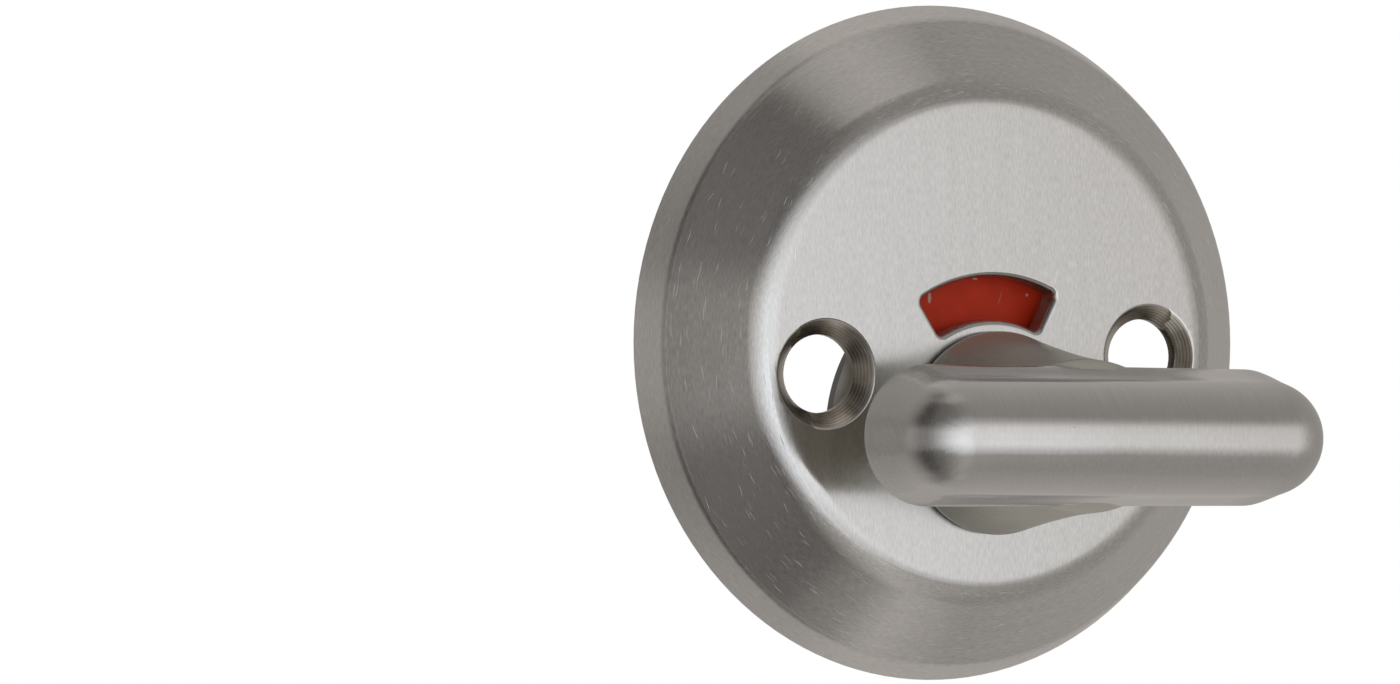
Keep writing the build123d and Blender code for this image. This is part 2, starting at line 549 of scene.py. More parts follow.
@dataclass(frozen=True)
class Studio:
    """White sweep with a soft box ahead of the face and a dark gap at its left.

    Each band holds brightness by azimuth in degrees, counted from straight ahead of the face to the right.
    A zone edge is the range of heights, in degrees, over which a band gives way to the next one up. Lengths
    are in millimetres.
    """

    floor_drop: float = 60.0
    floor_width: float = 4000.0
    floor_tone: float = 0.85
    floor_roughness: float = 0.9
    warmth: float = 0.068
    zone_edges: tuple[Pair, ...] = ((-70, -66), (-28, -10), (10, 28), (66, 70))
    below: Stops = (
        (-180, 0.35), (-100, 0.05), (-20, 0.30), (35, 0.55), (90, 0.40), (180, 0.45))
    low: Stops = (
        (-180, 0.50), (-108, 0.35), (-96, 0.02), (-68, 0.02), (-58, 0.26), (-45, 0.11), (-15, 0.35),
        (10, 0.55), (40, 0.33), (112, 0.43), (180, 0.50))
    level: Stops = (
        (-180, 0.60), (-125, 0.20), (-103, 0.55), (-94, 0.25), (-80, 0.18), (-65, 0.20), (-52, 0.38),
        (-42, 0.48), (45, 0.65), (65, 0.35), (95, 0.35), (150, 0.55), (180, 0.65))
    upper: Stops = (
        (-180, 0.40), (-108, 0.32), (-96, 0.02), (-68, 0.02), (-58, 0.24), (-45, 0.15), (-15, 0.18),
        (10, 0.30), (40, 0.31), (112, 0.40), (180, 0.55))
    above: Stops = (
        (-180, 0.35), (-100, 0.05), (-20, 0.50), (35, 0.55), (90, 0.40), (180, 0.45))
    soft_box: SoftBox = SoftBox()

    def build(self) -> None:
        """Makes the surrounding light, the soft box and the floor."""
        world = bpy.data.worlds.new("studio")
        world.use_nodes = True
        bpy.context.scene.world = world
        wiring = Wiring(world.node_tree)
        world.node_tree.nodes.clear()
        direction = wiring.add("ShaderNodeSeparateXYZ")
        wiring.feed(direction.inputs[0], wiring.add("ShaderNodeTexCoord").outputs["Generated"])
        x, y, z = direction.outputs
        azimuth = wiring.sum("ARCTAN2", x, wiring.sum("MULTIPLY", y, -1.0))
        place = wiring.sum("MULTIPLY_ADD", azimuth, 0.5 / math.pi, 0.5)
        height = wiring.sum("MULTIPLY", wiring.sum("ARCSINE", z), 180 / math.pi)
        light = self.band(wiring, place, self.below)
        for ends, stops in zip(self.zone_edges, (self.low, self.level, self.upper, self.above)):
            light = wiring.mix(wiring.between(height, *ends), light, self.band(wiring, place, stops))
        lit = wiring.add("ShaderNodeBackground")
        wiring.feed(lit.inputs["Color"], light)
        sweep = wiring.add("ShaderNodeBackground")
        sweep.inputs["Color"].default_value = WHITE
        chosen = wiring.add("ShaderNodeMixShader")
        wiring.feed(chosen.inputs[0], wiring.add("ShaderNodeLightPath").outputs["Is Camera Ray"])
        wiring.feed(chosen.inputs[1], lit.outputs[0])
        wiring.feed(chosen.inputs[2], sweep.outputs[0])
        output = wiring.add("ShaderNodeOutputWorld")
        wiring.feed(output.inputs[0], chosen.outputs[0])
        self.soft_box.build()
        self.build_floor()
        bpy.context.scene.view_settings.view_transform = "Standard"

    def band(self, wiring: Wiring, place: Socket, stops: Stops) -> Socket:
        """Gives one band's colour at a place round the horizon, 0 to 1."""
        shades = [(azimuth / 360 + 0.5, grey(level, self.warmth)) for azimuth, level in stops]
        return ramp(wiring, place, shades)

    def build_floor(self) -> None:
        """Makes the pale floor under the part."""
        half = self.floor_width / 2 * MILLIMETRE
        height = cad_box[0][2] - self.floor_drop * MILLIMETRE
        mesh = bpy.data.meshes.new("floor")
        corners = [(-half, -half, height), (half, -half, height), (half, half, height), (-half, half, height)]
        mesh.from_pydata(corners, [], [(0, 1, 2, 3)])
        floor = bpy.data.objects.new("floor", mesh)
        bpy.context.scene.collection.objects.link(floor)
        material, wiring, shader = new_material("pale_floor")
        shader["Base Color"].default_value = grey(self.floor_tone)
        shader["Roughness"].default_value = self.floor_roughness
        glow = wiring.add("ShaderNodeEmission")
        glow.inputs["Color"].default_value = WHITE
        chosen = wiring.add("ShaderNodeMixShader")
        wiring.feed(chosen.inputs[0], wiring.add("ShaderNodeLightPath").outputs["Is Camera Ray"])
        wiring.feed(chosen.inputs[1], material.node_tree.nodes["Principled BSDF"].outputs[0])
        wiring.feed(chosen.inputs[2], glow.outputs[0])
        wiring.feed(material.node_tree.nodes["Material Output"].inputs[0], chosen.outputs[0])
        mesh.materials.append(material)
        floor.visible_glossy = False


@dataclass(frozen=True)
class BrushedNickel:
    """Satin nickel plate, brushed one way, with hairline scratches and pits.

    Heights, depths, runs and radii are in millimetres, and counts are lumps for each millimetre.
    """

    name: str
    grain: Grain
    colour: Colour = (0.615, 0.613, 0.610, 1.0)
    roughness: float = 0.25
    spread: float = 0.9
    tone: float = 0.75
    contrast: float = 0.3
    line_height: float = 0.0010
    line_roughness: float = 0.10
    hairline_share: float = 0.02
    hairline_tone: float = 0.5
    hairline_roughness: float = 0.0
    # Near-white scratch colour: real scratches, their brightness partly painted glint.
    hairline_glint_colour: Colour = (0.95, 0.95, 0.95, 1.0)
    pit_share: float = 0.01
    pit_tone: float = 0.8
    pit_depth: float = 0.004
    pit_colour: Colour = (0.105, 0.10, 0.095, 1.0)
    cloud_count: float = 0.16
    cloud_roughness: float = 0.06
    wave_count: float = 0.09
    wave_height: float = 0.0
    end_roughness: float = 0.0
    end_run: Pair = (12.0, 16.5)
    round_radius: float = 24.0

    def material(self, effects: Effects) -> bpy.types.Material:
        """Builds the material.

        Args:
            effects: The shared node groups.

        Returns:
            The material.
        """
        material, wiring, shader = new_material(self.name)
        across, along, front = self.line_places(wiring, effects)
        place = wiring.vector(across, along, front)
        tone, height = effects.use(wiring, "brush_lines", across, along)
        hairlines = effects.use(wiring, "hairlines", across, along, self.hairline_share)[0]
        pits = effects.use(wiring, "pits", across, along, self.pit_share)[0]
        shade = wiring.sum("MULTIPLY_ADD", tone, self.tone, 0.5, clamp=True)
        brushed = wiring.mix(shade, self.shaded(1 - self.contrast), self.shaded(1 + self.contrast))
        # Hairlines are painted near white: real scratches whose brightness is partly painted glint.
        hairline_tone = wiring.sum("MULTIPLY", hairlines, self.hairline_tone)
        scratched_glinting = wiring.mix(hairline_tone, brushed, self.hairline_glint_colour)
        pit_tone = wiring.sum("MULTIPLY", pits, self.pit_tone)
        wiring.feed(shader["Base Color"], wiring.mix(pit_tone, scratched_glinting, self.pit_colour))
        clouds = wiring.noise(place, self.cloud_count)
        rough = wiring.sum("MULTIPLY_ADD", clouds, self.cloud_roughness, self.roughness)
        rough = wiring.sum("MULTIPLY_ADD", hairlines, self.hairline_roughness, rough)
        if self.end_roughness:
            ends = wiring.between(wiring.sum("ABSOLUTE", across), *self.end_run)
            rough = wiring.sum("MULTIPLY_ADD", ends, self.end_roughness, rough)
        wiring.feed(shader["Roughness"], wiring.sum("MULTIPLY_ADD", tone, self.line_roughness, rough))
        shader["Metallic"].default_value = 1.0
        _, axis, turn = self.grain.value
        shader["Anisotropic"].default_value = self.spread
        shader["Anisotropic Rotation"].default_value = turn
        tangent = wiring.add("ShaderNodeTangent", direction_type="RADIAL", axis=axis)
        wiring.feed(shader["Tangent"], tangent.outputs[0])
        relief = wiring.sum("MULTIPLY", height, self.line_height)
        relief = wiring.sum("MULTIPLY_ADD", pits, -self.pit_depth, relief)
        if self.wave_height:
            swell = wiring.noise(place, self.wave_count, detail=1.0)
            relief = wiring.sum("MULTIPLY_ADD", swell, self.wave_height, relief)
        raise_surface(wiring, shader, relief)
        return material

    def shaded(self, share: float) -> Colour:
        """Gives the plate's colour, made darker or lighter by a share."""
        red, green, blue, _ = self.colour
        return (red * share, green * share, blue * share, 1.0)

    def line_places(self, wiring: Wiring, effects: Effects) -> tuple[Socket, Socket, Socket]:
        """Finds the places across and along the brushing.

        Args:
            wiring: The material's wiring.
            effects: The shared node groups.

        Returns:
            Millimetres across the lines, along them, and in front of the door.
        """
        if self.grain is Grain.UPRIGHT:
            across, up, front, _, _ = effects.use(wiring, "rose_place")
            return across, up, front
        if self.grain is Grain.ROUND:
            _, _, front, radius, angle = effects.use(wiring, "rose_place")
            down_slope = wiring.sum("SUBTRACT", radius, front)
            return down_slope, wiring.sum("MULTIPLY", angle, self.round_radius), front
        across, up, front, _, _ = effects.use(wiring, "turn_place")
        return across, wiring.sum("ADD", up, front), front


@dataclass(frozen=True)
class TurnedMetal:
    """Bare metal with the fine grooves of a turning tool and random brown blotches; in the holes, also
    painted shade.

    The pitch and the height are in millimetres, and counts are lumps for each millimetre.
    """

    name: str
    colour: Colour = (0.40, 0.36, 0.31, 1.0)
    light: Colour = (0.66, 0.63, 0.57, 1.0)
    light_share: float = 0.35
    roughness: float = 0.24
    groove_pitch: float = 0.22
    groove_height: float = 0.003
    groove_tone: float = 0.14
    wander_count: float = 0.5
    wander_turns: float = 4.0
    stain_count: float = 0.45
    stain_tone: float = 1.6
    stain_roughness: float = 0.15

    def material(self, effects: Effects) -> bpy.types.Material:
        """Builds the material.

        Args:
            effects: The shared node groups.

        Returns:
            The material.
        """
        material, wiring, shader = new_material(self.name)
        across, up, front, _, _ = effects.use(wiring, "rose_place")
        place = wiring.vector(across, up, front)
        wander = wiring.sum("MULTIPLY", wiring.noise(place, self.wander_count), self.wander_turns)
        turns = wiring.sum("MULTIPLY_ADD", front, 2 * math.pi / self.groove_pitch, wander)
        groove = wiring.sum("SINE", turns)
        stain = wiring.noise(place, self.stain_count, detail=4.0)
        shade = wiring.sum("MULTIPLY_ADD", stain, self.stain_tone, self.light_share)
        shade = wiring.sum("MULTIPLY_ADD", groove, self.groove_tone, shade, clamp=True)
        wiring.feed(shader["Base Color"], wiring.mix(shade, self.colour, self.light))
        shader["Metallic"].default_value = 1.0
        rough = wiring.sum("MULTIPLY_ADD", stain, self.stain_roughness, self.roughness)
        wiring.feed(shader["Roughness"], rough)
        raise_surface(wiring, shader, wiring.sum("MULTIPLY", groove, self.groove_height / 2))
        return material


@dataclass(frozen=True)
class CastMetal:
    """The unpolished back of a casting: grainy, dull and a little stained.

    The height is in millimetres, and counts are lumps for each millimetre.
    """

    name: str
    colour: Colour = (0.30, 0.285, 0.26, 1.0)
    light: Colour = (0.46, 0.45, 0.43, 1.0)
    light_share: float = 0.5
    roughness: float = 0.48
    sand_count: float = 2.6
    sand_tone: float = 0.8
    sand_roughness: float = 0.25
    sand_height: float = 0.02
    stain_count: float = 0.14
    stain_tone: float = 1.5

    def material(self, effects: Effects) -> bpy.types.Material:
        """Builds the material.

        Args:
            effects: The shared node groups.

        Returns:
            The material.
        """
        material, wiring, shader = new_material(self.name)
        across, up, front, _, _ = effects.use(wiring, "rose_place")
        place = wiring.vector(across, up, front)
        sand = wiring.noise(place, self.sand_count, detail=4.0)
        stain = wiring.noise(place, self.stain_count, detail=3.0)
        shade = wiring.sum("MULTIPLY_ADD", sand, self.sand_tone, self.light_share)
        shade = wiring.sum("MULTIPLY_ADD", stain, self.stain_tone, shade, clamp=True)
        wiring.feed(shader["Base Color"], wiring.mix(shade, self.colour, self.light))
        shader["Metallic"].default_value = 1.0
        rough = wiring.sum("MULTIPLY_ADD", sand, self.sand_roughness, self.roughness)
        wiring.feed(shader["Roughness"], rough)
        raise_surface(wiring, shader, wiring.sum("MULTIPLY", sand, self.sand_height))
        return material


@dataclass(frozen=True)
class Worn:
    """One worn spot in paint: its place on the turn and its half width and half height, in millimetres."""

    across: float
    up: float
    half_width: float
    half_height: float


@dataclass(frozen=True)
class FieldPaint:
    """Brushed-on gloss paint of the indicator, with fine runs, specks and a worn spot or two.

    The height and the radius are in millimetres, and counts are lumps for each millimetre.
    """

    name: str
    colour: Colour
    deep: Colour
    chip: Colour
    chip_share: float = 0.015
    chip_tone: float = 0.75
    dots_to_streaks: float = 3.0
    streak_radius: float = 11.0
    roughness: float = 0.32
    gloss: float = 0.12
    cloud_count: float = 0.55
    cloud_tone: float = 1.5
    peel_count: float = 3.2
    peel_roughness: float = 0.2
    peel_height: float = 0.012
    ragged_count: float = 4.0
    raggedness: float = 1.2
    worn_edge: Pair = (1.2, 0.5)
    worn: tuple[Worn, ...] = ()

    def material(self, effects: Effects) -> bpy.types.Material:
        """Builds the material.

        Args:
            effects: The shared node groups.

        Returns:
            The material.
        """
        material, wiring, shader = new_material(self.name)
        across, up, front, radius, angle = effects.use(wiring, "turn_place")
        place = wiring.vector(across, up, front)
        cloud = wiring.noise(place, self.cloud_count, detail=3.0)
        peel = wiring.noise(place, self.peel_count)
        shade = wiring.sum("MULTIPLY_ADD", cloud, self.cloud_tone, 0.5, clamp=True)
        coat = wiring.mix(shade, self.deep, self.colour)
        arc = wiring.sum("MULTIPLY", angle, self.streak_radius)
        streaks = effects.use(wiring, "hairlines", arc, radius, self.chip_share)[0]
        dots = effects.use(wiring, "pits", across, up, self.dots_to_streaks * self.chip_share)[0]
        worn = wiring.sum("MAXIMUM", streaks, dots)
        ragged = wiring.sum("MULTIPLY", wiring.noise(place, self.ragged_count), self.raggedness)
        for spot in self.worn:
            sideways = wiring.sum("DIVIDE", wiring.sum("SUBTRACT", across, spot.across), spot.half_width)
            upward = wiring.sum("DIVIDE", wiring.sum("SUBTRACT", up, spot.up), spot.half_height)
            reach = wiring.sum("MULTIPLY_ADD", sideways, sideways, wiring.sum("MULTIPLY", upward, upward))
            bare = wiring.between(wiring.sum("ADD", reach, ragged), *self.worn_edge)
            worn = wiring.sum("MAXIMUM", worn, bare)
        chip_tone = wiring.sum("MULTIPLY", worn, self.chip_tone)
        wiring.feed(shader["Base Color"], wiring.mix(chip_tone, coat, self.chip))
        rough = wiring.sum("MULTIPLY_ADD", peel, self.peel_roughness, self.roughness)
        wiring.feed(shader["Roughness"], rough)
        shader["Specular IOR Level"].default_value = self.gloss
        raise_surface(wiring, shader, wiring.sum("MULTIPLY", peel, self.peel_height))
        return material


@dataclass(frozen=True)
class DrawnSteel:
    """Plated steel wire, strip or bar, with drawing lines along it and a trace of colour in the plate.

    The height is in millimetres, and the count is lumps for each millimetre.
    """

    name: str
    colour: Colour
    tint: Colour
    tint_share: float = 0.45
    roughness: float = 0.34
    line_colour: Colour = (0.16, 0.16, 0.16, 1.0)
    line_share: float = 0.25
    line_tone: float = 0.8
    line_height: float = 0.0015
    mark_colour: Colour = (0.85, 0.85, 0.85, 1.0)
    mark_share: float = 0.03
    mark_tone: float = 0.5
    patch_count: float = 0.22
    patch_tone: float = 2.0
    patch_roughness: float = 0.25

    def material(self, effects: Effects) -> bpy.types.Material:
        """Builds the material.

        Args:
            effects: The shared node groups.

        Returns:
            The material.
        """
        material, wiring, shader = new_material(self.name)
        across, up, front, _, _ = effects.use(wiring, "turn_place")
        sideways = wiring.sum("ADD", across, up)
        tone, height = effects.use(wiring, "brush_lines", sideways, front)
        marks = effects.use(wiring, "hairlines", sideways, front, self.mark_share)[0]
        patch = wiring.noise(wiring.vector(across, up, front), self.patch_count, detail=3.0)
        tinted = wiring.sum("MULTIPLY_ADD", patch, self.patch_tone, self.tint_share, clamp=True)
        plate = wiring.mix(tinted, self.colour, self.tint)
        dark = wiring.sum("MULTIPLY_ADD", tone, self.line_tone, self.line_share, clamp=True)
        lined = wiring.mix(dark, plate, self.line_colour)
        mark_tone = wiring.sum("MULTIPLY", marks, self.mark_tone)
        wiring.feed(shader["Base Color"], wiring.mix(mark_tone, lined, self.mark_colour))
        shader["Metallic"].default_value = 1.0
        rough = wiring.sum("MULTIPLY_ADD", patch, self.patch_roughness, self.roughness)
        wiring.feed(shader["Roughness"], rough)
        raise_surface(wiring, shader, wiring.sum("MULTIPLY", height, self.line_height))
        return material


@dataclass(frozen=True)
class MouldedPlastic:
    """Black bearing plastic with a fine moulded grain and a rubbed sheen.

    The height is in millimetres, and counts are lumps for each millimetre.
    """

    name: str
    colour: Colour = (0.014, 0.014, 0.015, 1.0)
    rubbed: Colour = (0.045, 0.043, 0.042, 1.0)
    rubbed_share: float = 0.4
    roughness: float = 0.5
    pebble_count: float = 5.0
    pebble_height: float = 0.01
    rub_count: float = 0.4
    rub_tone: float = 2.0
    rub_gloss: float = 0.3

    def material(self, effects: Effects) -> bpy.types.Material:
        """Builds the material.

        Args:
            effects: The shared node groups.

        Returns:
            The material.
        """
        material, wiring, shader = new_material(self.name)
        across, up, front, _, _ = effects.use(wiring, "turn_place")
        place = wiring.vector(across, up, front)
        pebble = wiring.noise(place, self.pebble_count)
        rub = wiring.noise(place, self.rub_count, detail=3.0)
        shade = wiring.sum("MULTIPLY_ADD", rub, self.rub_tone, self.rubbed_share, clamp=True)
        wiring.feed(shader["Base Color"], wiring.mix(shade, self.colour, self.rubbed))
        rough = wiring.sum("MULTIPLY_ADD", rub, -self.rub_gloss, self.roughness)
        wiring.feed(shader["Roughness"], rough)
        raise_surface(wiring, shader, wiring.sum("MULTIPLY", pebble, self.pebble_height))
        return material


@dataclass(frozen=True)
class Spot:
    """The middle of one face of a piece, in millimetres, and how much it looks to the front."""

    across: float
    up: float
    front: float
    ahead: float


@dataclass(frozen=True)
class Crown:
    """The polished crown of the grip's flanks, which lean in towards the nose. Lengths are in millimetres."""

    start: float = 24.0
    end: float = 29.0
    rings: int = 13
    lean: float = 0.065
    half_run: float = 14.775

    def press(self, shape: bmesh.types.BMesh) -> None:
        """Cuts rings round the grip and moves its flanks in towards its middle line.

        Args:
            shape: The merged mesh of the thumbturn.
        """
        for ring in range(self.rings):
            depth = self.start + (self.end - self.start) * ring / (self.rings - 1)
            cut = (0, -depth * MILLIMETRE, 0)
            parts = [*shape.verts, *shape.edges, *shape.faces]
            bmesh.ops.bisect_plane(shape, geom=parts, plane_co=cut, plane_no=(0, 1, 0))
        level = Matrix.Rotation(math.radians(-REST_TURN), 3, "Y")
        axis = Vector((0, 0, SPINDLE_HEIGHT)) * MILLIMETRE
        run = self.half_run * MILLIMETRE
        for vertex in shape.verts:
            share = (-vertex.co.y / MILLIMETRE - self.start) / (self.end - self.start)
            share = min(max(share, 0.0), 1.0)
            eased = share * share * (3 - 2 * share)
            place = level @ (vertex.co - axis)
            middle = Vector((min(max(place.x, -run), run), place.y, 0))
            pressed = place.lerp(middle, self.lean * eased)
            vertex.co = level.transposed() @ pressed + axis


class Piece:
    """A smooth-shaded copy of one CAD node, which stands for it."""

    merge_slack = 0.001 * MILLIMETRE
    flat_slack = 0.004 * MILLIMETRE
    flat_faces = 12
    ring_start = 18.0 * MILLIMETRE
    ring_slack = 0.01 * MILLIMETRE
    back_facing = 0.5

    def __init__(
            self, node: str, body: Body, slot: Slot, sharp: float = 32.0, crown: Crown | None = None,
            turned: bool = False) -> None:
        """Copies the node's mesh and smooths its shading.

        Args:
            node: The node's name.
            body: The body that it rides on.
            slot: The record's material slot, kept but not used.
            sharp: Angle in degrees past which an edge stays sharp.
            crown: The crown that its flanks get, if any.
            turned: Whether its outside is round about the rose's axis.
        """
        self.node = node
        self.body = body
        self.slot = slot
        self.crown = crown
        self.turned = turned
        self.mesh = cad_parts[node].data.copy()
        self.smooth(math.radians(sharp))

    def smooth(self, sharp: float) -> None:
        """Merges the loose triangles and evens their shading, with flat faces left truly flat.

        Args:
            sharp: Angle in radians past which an edge stays sharp.
        """
        if "custom_normal" in self.mesh.attributes:
            self.mesh.attributes.remove(self.mesh.attributes["custom_normal"])
        shape = bmesh.new()
        shape.from_mesh(self.mesh)
        bmesh.ops.remove_doubles(shape, verts=shape.verts, dist=self.merge_slack)
        if self.crown:
            self.crown.press(shape)
        shape.normal_update()
        shape.faces.index_update()
        normals = self.even_normals(shape, sharp)
        shape.to_mesh(self.mesh)
        shape.free()
        self.mesh.shade_smooth()
        self.mesh.set_sharp_from_angle(angle=sharp)
        self.mesh.normals_split_custom_set(normals)

    def even_normals(self, shape: bmesh.types.BMesh, sharp: float) -> list[Vector]:
        """Works out a normal for each corner: a flat's own where one meets there, or else a weighted mean.

        Args:
            shape: The merged mesh, its faces numbered.
            sharp: Angle in radians past which an edge stays sharp.

        Returns:
            The normals, in the order of the corners.
        """
        flat = self.find_flats(shape)
        normals: dict[bmesh.types.BMLoop, Vector] = {}
        for vertex in shape.verts:
            waiting = set(vertex.link_loops)
            while waiting:
                fan = [waiting.pop()]
                for corner in fan:
                    for edge in (corner.edge, corner.link_loop_prev.edge):
                        if edge.calc_face_angle(math.pi) > sharp:
                            continue
                        joined = [other for other in waiting if other.face in edge.link_faces]
                        waiting.difference_update(joined)
                        fan.extend(joined)
                leading = [corner for corner in fan if corner.face.index in flat] or fan
                mean = Vector()
                for corner in leading:
                    mean += corner.face.normal * corner.face.calc_area() * corner.calc_angle()
                normals.update(dict.fromkeys(fan, mean.normalized()))
        if self.turned:
            self.even_rings(normals)
        return [normals[corner] for face in shape.faces for corner in face.loops]

    def even_rings(self, normals: dict[bmesh.types.BMLoop, Vector]) -> None:
        """Gives the corners on each ring of a turned outside the same lean.

        Args:
            normals: The normal of each corner, which is changed in place.
        """
        rings: dict[tuple[int, int, bool], list[tuple[bmesh.types.BMLoop, Vector]]] = {}
        for corner, normal in normals.items():
            x, y, z = corner.vert.co
            radius = math.hypot(x, z)
            if radius < self.ring_start:
                continue
            out = Vector((x, 0, z)) / radius
            lean = Vector((normal.dot(out), normal.y, 0))
            on_back = normal.y > self.back_facing
            ring = (round(radius / self.ring_slack), round(y / self.ring_slack), on_back)
            rings.setdefault(ring, []).append((corner, lean))
        for corners in rings.values():
            mean = sum((lean for _, lean in corners), Vector()).normalized()
            for corner, _ in corners:
                out = Vector((corner.vert.co.x, 0, corner.vert.co.z)).normalized()
                normals[corner] = out * mean.x + Vector((0, mean.y, 0))

    def find_flats(self, shape: bmesh.types.BMesh) -> set[int]:
        """Finds the faces that lie in a large flat.

        Args:
            shape: The merged mesh, its faces numbered.

        Returns:
            The numbers of those faces.
        """
        seen: set[int] = set()
        flat: set[int] = set()
        for first in sorted(shape.faces, key=bmesh.types.BMFace.calc_area, reverse=True):
            if first.index in seen:
                continue
            level = first.normal.dot(first.verts[0].co)
            group = [first]
            seen.add(first.index)
            for face in group:
                for edge in face.edges:
                    for other in edge.link_faces:
                        if other.index in seen:
                            continue
                        if self.in_plane(other, first.normal, level):
                            seen.add(other.index)
                            group.append(other)
            if len(group) >= self.flat_faces:
                flat.update(face.index for face in group)
        return flat

    def in_plane(self, face: bmesh.types.BMFace, normal: Vector, level: float) -> bool:
        """Tells whether a face lies in the plane with this normal and level."""
        return all(abs(normal.dot(corner.co) - level) < self.flat_slack for corner in face.verts)

    def spots(self) -> list[Spot]:
        """Finds the middle of each face.

        Returns:
            The middles, in the order of the faces.
        """
        places = []
        for face in self.mesh.polygons:
            x, y, z = face.center / MILLIMETRE
            places.append(Spot(x, z, -y, -face.normal.y))
        return places

    def dress(self, materials: list[bpy.types.Material], choices: list[int] | None = None) -> None:
        """Gives the piece its materials and puts it on its body.

        Args:
            materials: The materials.
            choices: For each face, the number of its material. Without it, all take the first.
        """
        self.mesh.name = self.node + "_skin"
        self.mesh.materials.clear()
        for material in materials:
            self.mesh.materials.append(material)
        if choices:
            self.mesh.polygons.foreach_set("material_index", choices)
        place_piece(self.node, self.mesh, self.body)


def place_piece(node: str, mesh: bpy.types.Mesh, body: Body) -> None:
    """Puts a finished mesh in a node's place.

    Args:
        node: The node that it stands for.
        mesh: The mesh.
        body: The body that it rides on.
    """
    piece = bpy.data.objects.new(node + "_skin", mesh)
    bpy.context.scene.collection.objects.link(piece)
    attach(piece, body.value)
    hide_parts(node)
    log.info("%s: %d faces, %d finishes", piece.name, len(mesh.polygons), len(mesh.materials))


